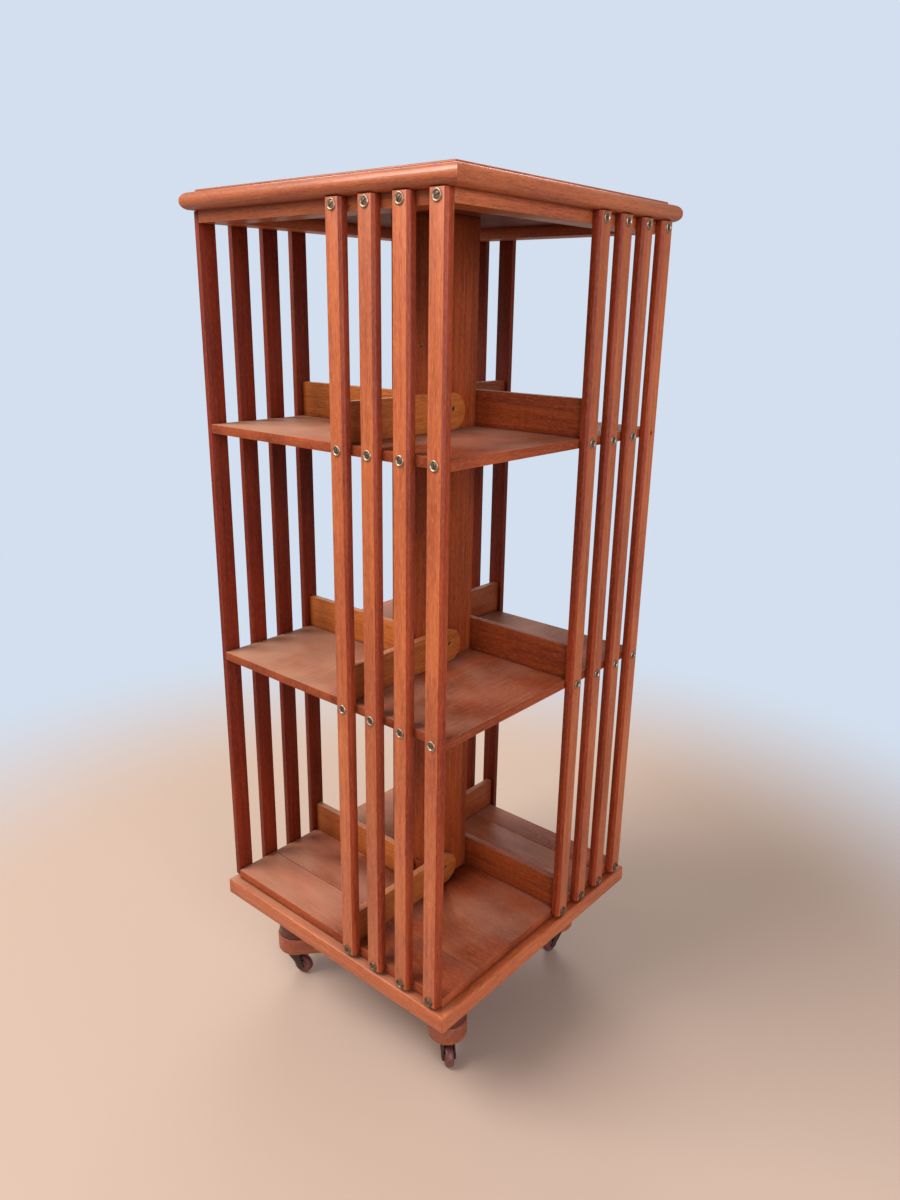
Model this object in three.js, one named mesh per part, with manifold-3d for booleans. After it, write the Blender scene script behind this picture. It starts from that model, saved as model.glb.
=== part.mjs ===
// A revolving bookcase: three open tiers of oak with slatted sides, turning on a cross foot with casters.
// Millimetres. +Z is up and the origin is on the floor, under the axis that the case turns about.
// The front of the case faces -Y. Each side repeats the one before it a quarter turn further round.

import * as THREE from "three";
import { mergeVertices } from "three/addons/utils/BufferGeometryUtils.js";
import Module from "manifold-3d";

const wasm = await Module();
wasm.setup();

// Driving dimensions
const FIT = 0.3;                   // gap between pieces that only touch
const QUARTER = Math.PI / 2;
const SIDES = ["front", "right", "back", "left"];

const CASE_HALF = 235;             // half the width of a shelf
const CASE_BASE = 156;             // underside of the plinth above the floor
const PLINTH_HALF = 249.5;
const PLINTH_THICK = 25;
const PLINTH_RAIL = 70;
const PLINTH_ARRIS = 4;
const BOTTOM_THICK = 17;
const BOTTOM_HOLE = 20;            // radius of the hole the spindle comes through
const SHELF_THICK = 13.5;
const LOWER_SHELF_Z = 593;         // undersides of the two shelves
const UPPER_SHELF_Z = 956;
const FRAME_Z = 1247;              // flat frame under the top board
const FRAME_THICK = 16;
const FRAME_RAIL = 42;
const TOP_EDGE_HALF = 253;         // to the crown of the half-round edge
const TOP_EDGE_RADIUS = 11.5;
const TOP_FIELD_HALF = 236;
const TOP_FIELD_RISE = 4;
const TOP_FIELD_LEAN = 1;          // the field's edge leans in by this much
const TOP_FIELD_ARRIS = 1.5;

const SLATS_PER_SIDE = 4;
const SLAT_WIDTH = 28;
const SLAT_DEPTH = 13;
const SLAT_CHAMFER_WIDE = 3.3;     // across the front face
const SLAT_CHAMFER_DEEP = 4.2;
const SLAT_FIRST = 14.3;           // centre of the first slat from the corner
const SLAT_PITCH = 55.8;
const SLAT_FOOT_GAP = 7;           // the slats stop this far above the plinth's ledge

const COLUMN_HALF = 45;
const COLUMN_WALL = 12;
const STOP_THICK = 12;
const STOP_HEIGHT = 54;
const STOP_REACH = 5;              // how far a stop's round end goes past the middle of the column

const CASTER_RADIUS = 238;         // swivel axes from the centre
const FOOT_TURN = THREE.MathUtils.degToRad(4);  // how far the cross stands turned from the case's diagonals
const ARM_HALF = 269;              // half the length of an arm
const ARM_WIDTH = 62;
const LOWER_ARM_Z = 50;
const LOWER_ARM_THICK = 32;
const UPPER_ARM_THICK = 36;
const UPPER_ARM_INSET = 2.5;
const HUB_RADIUS = 95;
const HUB_THICK = 18;
const HUB_COLLAR_RADIUS = 34;
const HUB_COLLAR_RISE = 26;        // above the crossing of the arms
const HUB_CHAMFER = 4;

const SPINDLE_RADIUS = 16;
const RUNNING = 0.35;              // radial clearance of the guide ring on the spindle
const SPINDLE_NECK_Z = 1225;       // where the spindle tapers down to its pivot
const SPINDLE_TAPER = 8;
const PIVOT_RADIUS = 9;
const PIVOT_TIP_Z = 1256;
const PIVOT_POINT = 6;             // height of the cone at its tip
const CUP_CLEARANCE = 1;
const CUP_DEPTH = 20;
const CUP_LIP_RADIUS = 14;
const CUP_BODY_RADIUS = 16;
const CUP_FLANGE_RADIUS = 31;
const CUP_FLANGE_THICK = 4;
const GUIDE_RADIUS = 46;
const GUIDE_THICK = 8;

const WHEEL_RADIUS = 17;
const WHEEL_WIDTH = 15;
const WHEEL_TRAIL = 14;
const AXLE_RADIUS = 2.5;
const AXLE_CLEARANCE = 0.25;
const AXLE_PROUD = 1;              // the riveted ends stand out from the fork
const WHEEL_BOSS = 6;
const WHEEL_DISH = 1.2;            // the sides are turned down this far round the boss
const WHEEL_ROUND = 3;             // at the edges of the tread
const FORK_CHEEK = 2.6;            // thickness of each side of the fork
const FORK_GAP = 0.8;              // between a side and the wheel
const FORK_HALF = 13;              // half its width at the crown
const FORK_EYE = 6.5;              // radius of the eye round the axle
const FORK_WAIST = 2;              // the sides start to narrow this far below the crown
const CROWN_RADIUS = 14;
const CROWN_GAP = 3;               // above the wheel
const CROWN_TOP_Z = 46.4;          // leaves room for the plate under the arm
const STEM_RADIUS = 4.5;
const STEM_HOLE = 5;
const STEM_TOP = 72;
const CASTER_HEADINGS = [-38, -93, -75, 15].map(THREE.MathUtils.degToRad);  // where each wheel trails to

// Heights worked out from the dimensions above
const LEDGE_Z = CASE_BASE + PLINTH_THICK;
const BOTTOM_TOP_Z = LEDGE_Z + BOTTOM_THICK;
const TOP_Z = FRAME_Z + FRAME_THICK;
const UPPER_ARM_Z = LOWER_ARM_Z + LOWER_ARM_THICK;
const HUB_Z = UPPER_ARM_Z + UPPER_ARM_THICK;
const HUB_SHOULDER_Z = HUB_Z + HUB_THICK;
const HUB_TOP_Z = HUB_Z + HUB_COLLAR_RISE;

// Finishes
const finish = (color, roughness, metalness) =>
  new THREE.MeshStandardMaterial({ color, roughness, metalness });
const oak = finish(0xa9532f, 0.45, 0);
const stopWood = finish(0xb0662f, 0.5, 0);
const footWood = finish(0x8f4a34, 0.5, 0);
const darkWood = finish(0x5a2a22, 0.55, 0);
const iron = finish(0x2e2a29, 0.6, 0.8);
const wheelWood = finish(0x6b3630, 0.5, 0);

const rack = new THREE.Group();

// Solids, and cutting one with another
function bare(geometry) {
  const copy = geometry.clone();
  copy.deleteAttribute("normal");
  copy.deleteAttribute("uv");
  return mergeVertices(copy, 1e-4);
}

function solid(geometry) {
  const merged = bare(geometry);
  return new wasm.Manifold(new wasm.Mesh({
    numProp: 3,
    vertProperties: merged.attributes.position.array,
    triVerts: new Uint32Array(merged.index.array),
  }));
}

function geometryOf(manifold) {
  const mesh = manifold.getMesh();
  const geometry = new THREE.BufferGeometry();
  geometry.setAttribute("position", new THREE.BufferAttribute(mesh.vertProperties, 3));
  geometry.setIndex(new THREE.BufferAttribute(mesh.triVerts, 1));
  return geometry;
}

const cut = (geometry, ...tools) =>
  geometryOf(tools.reduce((body, tool) => body.subtract(solid(tool)), solid(geometry)));

const join = (geometry, ...others) =>
  geometryOf(others.reduce((body, other) => body.add(solid(other)), solid(geometry)));

function box(low, high) {
  const size = high.map((value, i) => value - low[i]);
  const middle = high.map((value, i) => (value + low[i]) / 2);
  return new THREE.BoxGeometry(...size).translate(...middle);
}

function upright(radius, low, high, segments = 48) {
  return new THREE.CylinderGeometry(radius, radius, high - low, segments)
    .rotateX(QUARTER)
    .translate(0, 0, (low + high) / 2);
}

// A plan outline raised from low to high
function raise(shape, low, high, curveSegments = 12) {
  return new THREE.ExtrudeGeometry(shape, { depth: high - low, bevelEnabled: false, curveSegments })
    .translate(0, 0, low);
}

function outline(points) {
  return new THREE.Shape(points.map(([x, y]) => new THREE.Vector2(x, y)));
}

const square = (half) => outline([[-half, -half], [half, -half], [half, half], [-half, half]]);

// A square ring lofted through [half-width, height] steps, closed at the bottom and the top
function squareStack(steps) {
  const positions = steps.flatMap(([half, z]) =>
    [-half, -half, z, half, -half, z, half, half, z, -half, half, z]);
  const index = [0, 2, 1, 0, 3, 2];
  for (let level = 0; level < steps.length - 1; level += 1) {
    for (let side = 0; side < 4; side += 1) {
      const a = level * 4 + side;
      const b = level * 4 + ((side + 1) % 4);
      index.push(a, b, b + 4, a, b + 4, a + 4);
    }
  }
  const last = (steps.length - 1) * 4;
  index.push(last, last + 1, last + 2, last, last + 2, last + 3);
  const geometry = new THREE.BufferGeometry();
  geometry.setAttribute("position", new THREE.Float32BufferAttribute(positions, 3));
  geometry.setIndex(index);
  return geometry;
}

// The front rail of a mitred frame, from its convex section as [distance from the middle, height] points
function mitredRail(section) {
  const ends = [-1, 1].map((end) => section.map(([half, z]) => [end * (half - FIT / 2), -half, z]));
  const count = section.length;
  const index = [];
  for (let i = 0; i < count; i += 1) {
    const next = (i + 1) % count;
    index.push(i, count + next, next, i, count + i, count + next);
  }
  for (let i = 1; i < count - 1; i += 1) {
    index.push(0, i, i + 1, count, count + i + 1, count + i);
  }
  const geometry = new THREE.BufferGeometry();
  geometry.setAttribute("position", new THREE.Float32BufferAttribute(ends.flat(2), 3));
  geometry.setIndex(index);
  return geometry;
}

function add(parent, name, geometry, material) {
  const mesh = new THREE.Mesh(geometry, material);
  mesh.name = name;
  parent.add(mesh);
  return mesh;
}

function turned(parent, angle) {
  const group = new THREE.Group();
  group.rotation.z = angle;
  parent.add(group);
  return group;
}

// Top board: a half-round edge, a small step, then the raised field
function topBoard() {
  const steps = [];
  const arcSteps = 8;
  const core = TOP_EDGE_HALF - TOP_EDGE_RADIUS;
  for (let i = 0; i <= arcSteps; i += 1) {
    const angle = -QUARTER + (Math.PI * i) / arcSteps;
    steps.push([core + TOP_EDGE_RADIUS * Math.cos(angle), TOP_Z + TOP_EDGE_RADIUS * (1 + Math.sin(angle))]);
  }
  const edgeTop = TOP_Z + 2 * TOP_EDGE_RADIUS;
  const fieldTop = edgeTop + TOP_FIELD_RISE;
  steps.push([TOP_FIELD_HALF + TOP_FIELD_LEAN, edgeTop]);
  steps.push([TOP_FIELD_HALF, fieldTop - TOP_FIELD_LEAN]);
  steps.push([TOP_FIELD_HALF - TOP_FIELD_ARRIS, fieldTop]);
  add(rack, "top_board", squareStack(steps), oak);
}

// Flat mitred frame under the top board
function topFrame() {
  const inner = CASE_HALF - FRAME_RAIL;
  const rail = mitredRail([[CASE_HALF, FRAME_Z], [CASE_HALF, TOP_Z], [inner, TOP_Z], [inner, FRAME_Z]]);
  SIDES.forEach((side, i) => add(turned(rack, i * QUARTER), `frame_rail_${side}`, rail, oak));
}

// Shelves have a square hole that the column passes through
function shelves() {
  const hole = COLUMN_HALF + FIT;
  const shelf = square(CASE_HALF);
  shelf.holes.push(square(hole));
  add(rack, "shelf_upper", raise(shelf, UPPER_SHELF_Z, UPPER_SHELF_Z + SHELF_THICK), oak);
  add(rack, "shelf_lower", raise(shelf, LOWER_SHELF_Z, LOWER_SHELF_Z + SHELF_THICK), oak);
}

// Mitred plinth with a small bevel on its upper edge, and the board that lies on it
function bottom() {
  const inside = PLINTH_HALF - PLINTH_RAIL;
  const rail = mitredRail([
    [PLINTH_HALF, CASE_BASE],
    [PLINTH_HALF, LEDGE_Z - PLINTH_ARRIS],
    [PLINTH_HALF - PLINTH_ARRIS, LEDGE_Z],
    [inside, LEDGE_Z],
    [inside, CASE_BASE],
  ]);
  SIDES.forEach((side, i) => add(turned(rack, i * QUARTER), `plinth_rail_${side}`, rail, oak));

  const board = square(CASE_HALF);
  board.holes.push(new THREE.Path().absarc(0, 0, BOTTOM_HOLE, 0, 2 * Math.PI));
  add(rack, "bottom_board", raise(board, LEDGE_Z, BOTTOM_TOP_Z, 24), oak);
}

// A slat's section: square at the back, chamfered on both front edges
function slatSection() {
  const back = SLAT_WIDTH / 2;
  const face = back - SLAT_CHAMFER_WIDE;
  const shoulder = SLAT_DEPTH - SLAT_CHAMFER_DEEP;
  return outline([
    [-face, -SLAT_DEPTH], [face, -SLAT_DEPTH], [back, -shoulder],
    [back, 0], [-back, 0], [-back, -shoulder],
  ]);
}

function slats() {
  const geometry = raise(slatSection(), LEDGE_Z + SLAT_FOOT_GAP, TOP_Z - FIT);
  SIDES.forEach((side, i) => {
    const group = turned(rack, i * QUARTER);
    for (let n = 0; n < SLATS_PER_SIDE; n += 1) {
      const slat = add(group, `slat_${side}_${n + 1}`, geometry, oak);
      slat.position.set(CASE_HALF - SLAT_FIRST - n * SLAT_PITCH, -CASE_HALF - FIT, 0);
    }
  });
}

// Low stops that keep the books off the column, lapped on its side with a round end
function bookStops() {
  const radius = STOP_HEIGHT / 2;
  const start = CASE_HALF - FIT;
  const profile = new THREE.Shape();
  profile.moveTo(-start, 0);
  profile.lineTo(STOP_REACH - radius, 0);
  profile.absarc(STOP_REACH - radius, radius, radius, -QUARTER, QUARTER);
  profile.lineTo(-start, STOP_HEIGHT);
  const stop = raise(profile, 0, STOP_THICK)
    .rotateX(QUARTER)
    .rotateZ(QUARTER)
    .translate(COLUMN_HALF + FIT, 0, 0);
  const tiers = {
    bottom: BOTTOM_TOP_Z,
    middle: LOWER_SHELF_Z + SHELF_THICK,
    top: UPPER_SHELF_Z + SHELF_THICK,
  };
  SIDES.forEach((side, i) => {
    const group = turned(rack, i * QUARTER);
    for (const [tier, z] of Object.entries(tiers)) {
      add(group, `book_stop_${tier}_${side}`, stop, stopWood).position.z = z;
    }
  });
}

// Hollow square column: each board butts against the next, in the same pinwheel order
function column() {
  const outer = COLUMN_HALF;
  const inner = COLUMN_HALF - COLUMN_WALL;
  const board = box([-outer, -outer, BOTTOM_TOP_Z], [inner - FIT, -inner, TOP_Z]);
  SIDES.forEach((side, i) => {
    add(turned(rack, i * QUARTER), `column_board_${side}`, board, stopWood);
  });
}

// One arm of the cross foot: a beam with round ends, halved where it crosses the other
function armPlan(half, width) {
  const radius = width / 2;
  const plan = new THREE.Shape();
  plan.moveTo(-half + radius, -radius);
  plan.lineTo(half - radius, -radius);
  plan.absarc(half - radius, 0, radius, -QUARTER, QUARTER);
  plan.lineTo(-half + radius, radius);
  plan.absarc(-half + radius, 0, radius, QUARTER, 3 * QUARTER);
  return plan;
}

function halvedArm(half, width, low, thick, keepLower) {
  const middle = low + thick / 2;
  const reach = width / 2 + FIT;
  const notch = keepLower
    ? box([-reach, -width, middle - FIT / 2], [reach, width, low + thick + 1])
    : box([-reach, -width, low - 1], [reach, width, middle + FIT / 2]);
  return cut(raise(armPlan(half, width), low, low + thick), notch);
}

function crossFoot() {
  const diagonals = [QUARTER / 2 + FOOT_TURN, -QUARTER / 2 + FOOT_TURN];
  const stemHoles = [-CASTER_RADIUS, CASTER_RADIUS].map((x) =>
    upright(STEM_HOLE, LOWER_ARM_Z - 1, STEM_TOP + 1, 24).translate(x, 0, 0));
  diagonals.forEach((angle, i) => {
    const group = turned(rack, angle);
    const letter = "ab"[i];
    const lower = halvedArm(ARM_HALF, ARM_WIDTH, LOWER_ARM_Z, LOWER_ARM_THICK, i === 0);
    add(group, `lower_arm_${letter}`, cut(lower, ...stemHoles), footWood);
    const upper = halvedArm(ARM_HALF - UPPER_ARM_INSET, ARM_WIDTH - 2 * UPPER_ARM_INSET,
      UPPER_ARM_Z, UPPER_ARM_THICK, i === 0);
    add(group, `upper_arm_${letter}`, upper, darkWood);
  });
}

// The fixed spindle, the turned hub that holds it, and the cup that the case hangs on
function pivot() {
  const socket = SPINDLE_RADIUS + FIT;
  const hub = [
    [socket, HUB_Z],
    [HUB_RADIUS, HUB_Z],
    [HUB_RADIUS, HUB_SHOULDER_Z - HUB_CHAMFER],
    [HUB_RADIUS - HUB_CHAMFER, HUB_SHOULDER_Z],
    [HUB_COLLAR_RADIUS, HUB_SHOULDER_Z],
    [HUB_COLLAR_RADIUS, HUB_TOP_Z],
    [socket, HUB_TOP_Z],
  ];
  add(rack, "hub", spun(hub), darkWood);

  const spindle = [
    [0, HUB_Z],
    [SPINDLE_RADIUS, HUB_Z],
    [SPINDLE_RADIUS, SPINDLE_NECK_Z],
    [PIVOT_RADIUS, SPINDLE_NECK_Z + SPINDLE_TAPER],
    [PIVOT_RADIUS, PIVOT_TIP_Z - PIVOT_POINT],
    [0, PIVOT_TIP_Z],
  ];
  add(rack, "spindle", spun(spindle), iron);

  const cupInside = PIVOT_RADIUS + CUP_CLEARANCE;
  const flangeLow = TOP_Z - CUP_FLANGE_THICK;
  const cup = [
    [0, PIVOT_TIP_Z + FIT],
    [cupInside, PIVOT_TIP_Z - PIVOT_POINT],
    [cupInside, TOP_Z - CUP_DEPTH],
    [CUP_LIP_RADIUS, TOP_Z - CUP_DEPTH],
    [CUP_BODY_RADIUS, flangeLow],
    [CUP_FLANGE_RADIUS, flangeLow],
    [CUP_FLANGE_RADIUS, TOP_Z],
    [0, TOP_Z],
  ];
  add(rack, "pivot_cup", spun(cup), iron);

  const bore = SPINDLE_RADIUS + RUNNING;
  const ringLow = LEDGE_Z - GUIDE_THICK;
  add(rack, "guide_ring", spun([
    [bore, ringLow], [GUIDE_RADIUS, ringLow], [GUIDE_RADIUS, LEDGE_Z], [bore, LEDGE_Z],
  ]), iron);
}

// A ring or knob turned from [radius, height] points, listed from its lowest inside point outwards and up
function spun(points, segments = 48) {
  const profile = [...points, points[0]].map(([r, z]) => new THREE.Vector2(r, z));
  return new THREE.LatheGeometry(profile, segments).rotateX(QUARTER);
}

// Casters: a fork that swivels on its stem, with the axle riveted through it, and a wheel
function casterFork() {
  const inner = WHEEL_WIDTH / 2 + FORK_GAP;
  const outer = inner + FORK_CHEEK;
  const crownLow = 2 * WHEEL_RADIUS + CROWN_GAP;
  const cheek = new THREE.Shape();
  cheek.moveTo(-FORK_HALF, CROWN_TOP_Z);
  cheek.lineTo(-FORK_HALF, crownLow - FORK_WAIST);
  cheek.lineTo(WHEEL_TRAIL - FORK_EYE, WHEEL_RADIUS);
  cheek.absarc(WHEEL_TRAIL, WHEEL_RADIUS, FORK_EYE, Math.PI, 2 * Math.PI);
  cheek.lineTo(WHEEL_TRAIL + 2 * FORK_WAIST, crownLow);
  cheek.lineTo(FORK_HALF, CROWN_TOP_Z);
  const sheet = (from) => raise(cheek, 0, FORK_CHEEK, 8)
    .rotateX(QUARTER)
    .translate(0, from + FORK_CHEEK, 0);
  const crown = upright(CROWN_RADIUS, crownLow, CROWN_TOP_Z, 24);
  const stem = upright(STEM_RADIUS, crownLow + 1, STEM_TOP, 24);
  const axle = new THREE.CylinderGeometry(AXLE_RADIUS, AXLE_RADIUS, 2 * (outer + AXLE_PROUD), 16)
    .translate(WHEEL_TRAIL, 0, WHEEL_RADIUS);
  return join(sheet(inner), sheet(-outer), crown, stem, axle);
}

function casterWheel() {
  const half = WHEEL_WIDTH / 2;
  const bore = AXLE_RADIUS + AXLE_CLEARANCE;
  const rim = WHEEL_RADIUS;
  const near = [
    [bore, half],
    [WHEEL_BOSS, half],
    [WHEEL_BOSS + 1, half - WHEEL_DISH],
    [rim - WHEEL_ROUND, half - WHEEL_DISH],
    [rim, half - WHEEL_ROUND],
  ];
  const far = near.map(([r, y]) => [r, -y]);
  const profile = [...far, ...near.reverse()];
  const points = [...profile, profile[0]].map(([r, y]) => new THREE.Vector2(r, y));
  return new THREE.LatheGeometry(points, 32);
}

function casters() {
  const fork = casterFork();
  const wheel = casterWheel();
  SIDES.forEach((side, i) => {
    const place = turned(rack, -QUARTER / 2 + FOOT_TURN + i * QUARTER);
    const swivel = new THREE.Group();
    swivel.position.x = CASTER_RADIUS;
    swivel.rotation.z = CASTER_HEADINGS[i] - place.rotation.z;
    place.add(swivel);
    add(swivel, `caster_fork_${i + 1}`, fork, iron);
    add(swivel, `caster_wheel_${i + 1}`, wheel, wheelWood).position.set(WHEEL_TRAIL, 0, WHEEL_RADIUS);
  });
}

topBoard();
topFrame();
shelves();
bottom();
slats();
bookStops();
column();
crossFoot();
pivot();
casters();

export default rack;
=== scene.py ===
"""A revolving bookcase in stained oak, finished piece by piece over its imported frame.

Lengths are millimetres, from the floor up, and MM turns them to metres where a mesh is made.
Each piece is made for the front of the case, -Y, and copied a quarter turn further round.
"""

import math
import random

import bmesh
import bpy
from mathutils import Matrix, Vector


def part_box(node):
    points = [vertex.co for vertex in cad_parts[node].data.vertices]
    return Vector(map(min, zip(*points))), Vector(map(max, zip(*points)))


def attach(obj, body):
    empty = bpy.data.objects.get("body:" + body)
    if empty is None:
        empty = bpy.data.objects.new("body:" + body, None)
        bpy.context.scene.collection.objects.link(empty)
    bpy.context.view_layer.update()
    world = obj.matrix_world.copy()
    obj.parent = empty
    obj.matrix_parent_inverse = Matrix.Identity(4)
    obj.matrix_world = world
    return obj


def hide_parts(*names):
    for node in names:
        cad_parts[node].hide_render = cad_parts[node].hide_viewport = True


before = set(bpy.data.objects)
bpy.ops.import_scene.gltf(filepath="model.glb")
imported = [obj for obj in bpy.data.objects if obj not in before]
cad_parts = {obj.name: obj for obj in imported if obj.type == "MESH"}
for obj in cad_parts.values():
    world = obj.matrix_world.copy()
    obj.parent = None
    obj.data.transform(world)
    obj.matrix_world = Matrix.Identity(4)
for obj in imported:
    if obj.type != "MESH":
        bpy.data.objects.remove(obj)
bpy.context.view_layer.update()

MM = 0.001
QUARTER = math.pi / 2
SIDES = ("front", "right", "back", "left")
TIERS = ("bottom", "middle", "top")
DAYLIT = ("front", "right")  # the sides whose slat edges take the lighter painted shade; the others take the darker

MITRE_GAP = 0.12           # left between two mitred ends
SLAT_FACE = 21.4           # flat width left between a slat's chamfers
SLAT_CHAMFER = 4.2
TOP_EDGE_THICK = 23        # the half-round edging
TOP_EDGE_WIDE = 48
PLINTH_ARRIS = 4
PLANK_JOINTS = (-157, 184)  # joints of the bottom board, along X
FIELD_BOARDS = 4
FIELD_INSET = 16.4         # from the edge of the top to its raised field
BOARD_GAP = 0.12           # between two glued boards of the field
PLANK_GAP = 0.3            # either side of a joint in the bottom
SPINDLE_HOLE = 20
SHADE_ANGLE = math.radians(42)  # faces that meet at less than this are shaded as one

FOOT_TURN = math.radians(4)
ARM_HALF = 269
ARM_WIDTH = 62
UPPER_ARM_INSET = 2.5
CASTER_RADIUS = 238
CASTER_HEADINGS = [math.radians(a) for a in (-38, -93, -75, 15)]
WHEEL_RADIUS = 17
WHEEL_TRAIL = 14

SCREW_LEVELS = {"top": 1254.5, "upper_shelf": 962.75, "lower_shelf": 599.75, "plinth": 194}
LOST_SCREW = ("right", 1, "upper_shelf")
COLUMN_SCREWS = (236, 1089)
# Pale dust colour, which also paints light on the left of the case.
DUST_AND_LIGHT = "#B08D78"
ROOM_FILL = "#ABA198"      # what the room lights with
ROOM_SEEN = "#D3DFEE"      # what the room looks like
TIMBER_SEED = 11


# Selecting and shaping

def only(piece):
    """Makes a piece the one selected object."""
    bpy.ops.object.select_all(action="DESELECT")
    piece.select_set(True)
    bpy.context.view_layer.objects.active = piece


def settle(name):
    """Names the primitive just added and puts its place in its mesh."""
    piece = bpy.context.object
    piece.name = name
    piece.data.name = name
    bpy.ops.object.transform_apply(location=True, rotation=True, scale=True)
    return piece


def sawn(name, low, high):
    """A sawn block between two corners."""
    bpy.ops.object.select_all(action="DESELECT")
    centre = [(a + b) / 2 * MM for a, b in zip(low, high)]
    size = [(b - a) * MM for a, b in zip(low, high)]
    bpy.ops.mesh.primitive_cube_add(size=1, location=centre, scale=size)
    return settle(name)


def select_faces(piece, wanted):
    """Selects the faces whose middle and normal pass a test."""
    bpy.ops.mesh.select_mode(type="FACE")
    bpy.ops.mesh.select_all(action="DESELECT")
    mesh = bmesh.from_edit_mesh(piece.data)
    for face in mesh.faces:
        if wanted(face.calc_center_median() / MM, face.normal):
            face.select_set(True)
    bmesh.update_edit_mesh(piece.data)


def select_edges(piece, wanted):
    """Selects the edges whose middle and direction pass a test."""
    bpy.ops.mesh.select_mode(type="EDGE")
    bpy.ops.mesh.select_all(action="DESELECT")
    mesh = bmesh.from_edit_mesh(piece.data)
    for edge in mesh.edges:
        start, end = (corner.co for corner in edge.verts)
        if wanted((start + end) / 2 / MM, (end - start).normalized()):
            edge.select_set(True)
    bmesh.update_edit_mesh(piece.data)


def round_edges(piece, wanted, radius, segments):
    """Works a round on the edges that pass a test."""
    only(piece)
    bpy.ops.object.mode_set(mode="EDIT")
    select_edges(piece, wanted)
    bpy.ops.mesh.bevel(offset=radius * MM, segments=segments, profile=0.5)
    bpy.ops.object.mode_set(mode="OBJECT")


def draw_face(piece, wanted, move, scale=(1, 1, 1)):
    """Draws a face out by a distance and scales it."""
    only(piece)
    bpy.ops.object.mode_set(mode="EDIT")
    select_faces(piece, wanted)
    shift = tuple(Vector(move) * MM)
    bpy.ops.mesh.extrude_region_move(TRANSFORM_OT_translate={"value": shift})
    bpy.ops.transform.resize(value=scale)
    bpy.ops.object.mode_set(mode="OBJECT")


def saw(piece, point, away):
    """Saws off what lies beyond a plane through a point."""
    only(piece)
    bpy.ops.object.mode_set(mode="EDIT")
    bpy.ops.mesh.select_all(action="SELECT")
    bpy.ops.mesh.bisect(
        plane_co=tuple(Vector(point) * MM), plane_no=tuple(Vector(away).normalized()),
        use_fill=True, clear_outer=True)
    bpy.ops.object.mode_set(mode="OBJECT")


def mitre(piece, half, blunt):
    """Mitres both ends of a front rail and takes the sharp tip off each corner."""
    for side in (-1, 1):
        away = Vector((side, 1, 0)).normalized()
        saw(piece, -away * MITRE_GAP, away)
        saw(piece, (side * (half - blunt), blunt - half, 0), (side, -1, 0))


def soften(piece, width, segments=2, angle=30):
    """Takes the sharpness off a piece's arrises and shades it."""
    only(piece)
    arris = piece.modifiers.new("arris", "BEVEL")
    arris.width = width * MM
    arris.segments = segments
    arris.limit_method = "ANGLE"
    arris.angle_limit = math.radians(angle)
    bpy.ops.object.modifier_apply(modifier=arris.name)
    bpy.ops.object.shade_smooth_by_angle(angle=SHADE_ANGLE)


def carve(piece, tool):
    """Cuts a tool's shape out of a piece."""
    only(piece)
    cut = piece.modifiers.new("cut", "BOOLEAN")
    cut.operation = "DIFFERENCE"
    cut.solver = "MANIFOLD"
    cut.object = tool
    bpy.ops.object.modifier_apply(modifier=cut.name)
    bpy.data.objects.remove(tool)


def turned(name, steps, sides=48, bored=False):
    """Turns a piece about the upright axis through (radius, height) steps, a bored one back to its bore."""
    radius, height = steps[0]
    bpy.ops.object.select_all(action="DESELECT")
    bpy.ops.mesh.primitive_circle_add(
        vertices=sides, radius=radius * MM, location=(0, 0, height * MM),
        fill_type="NOTHING" if bored else "NGON")
    piece = settle(name)
    bpy.ops.object.mode_set(mode="EDIT")
    bpy.ops.mesh.select_mode(type="VERT")
    bpy.ops.mesh.select_all(action="SELECT")
    for (before, low), (after, high) in zip(steps, steps[1:]):
        rise = {"value": (0, 0, (high - low) * MM)}
        bpy.ops.mesh.extrude_region_move(TRANSFORM_OT_translate=rise)
        grow = after / before
        bpy.ops.transform.resize(value=(grow, grow, 1), center_override=(0, 0, 0))
    if bored:
        bpy.ops.mesh.select_non_manifold()
        bpy.ops.mesh.bridge_edge_loops()
    bpy.ops.mesh.select_all(action="SELECT")
    bpy.ops.mesh.normals_make_consistent(inside=False)
    bpy.ops.object.mode_set(mode="OBJECT")
    bpy.ops.object.shade_smooth_by_angle(angle=SHADE_ANGLE)
    return piece


def joined(piece, *others):
    """Fixes other pieces to a piece."""
    only(piece)
    for other in others:
        other.select_set(True)
    bpy.ops.object.join()
    return piece


def copied(piece, name, move):
    """A copy of a piece with its own mesh, moved by a matrix."""
    twin = piece.copy()
    twin.data = piece.data.copy()
    twin.name = name
    twin.data.name = name
    bpy.context.scene.collection.objects.link(twin)
    twin.data.transform(move)
    return twin


def all_round(piece, pattern):
    """The front piece and its copies on the other three sides, named by a pattern."""
    made = {"front": piece}
    for turn, side in enumerate(SIDES[1:], 1):
        made[side] = copied(piece, pattern.format(side), Matrix.Rotation(turn * QUARTER, 4, "Z"))
    return made


def corners(node):
    """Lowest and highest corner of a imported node."""
    low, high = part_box(node)
    return low / MM, high / MM


luck = random.Random(TIMBER_SEED)


def fit(piece, body, slot, finish, *nodes):
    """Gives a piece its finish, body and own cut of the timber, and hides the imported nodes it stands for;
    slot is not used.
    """
    if finish:
        piece.data.materials.clear()
        piece.data.materials.append(finish)
    cut = [luck.uniform(-1, 1) for _ in range(3)]
    board = piece.data.attributes.new("board", "FLOAT_VECTOR", "POINT")
    board.data.foreach_set("vector", cut * len(piece.data.vertices))
    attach(piece, body)
    if nodes:
        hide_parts(*nodes)


# Finishes

def srgb(code):
    """A hex colour as linear red, green and blue."""
    parts = [int(code[i:i + 2], 16) / 255 for i in (1, 3, 5)]
    return [c / 12.92 if c <= 0.04045 else ((c + 0.055) / 1.055) ** 2.4 for c in parts] + [1]


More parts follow.
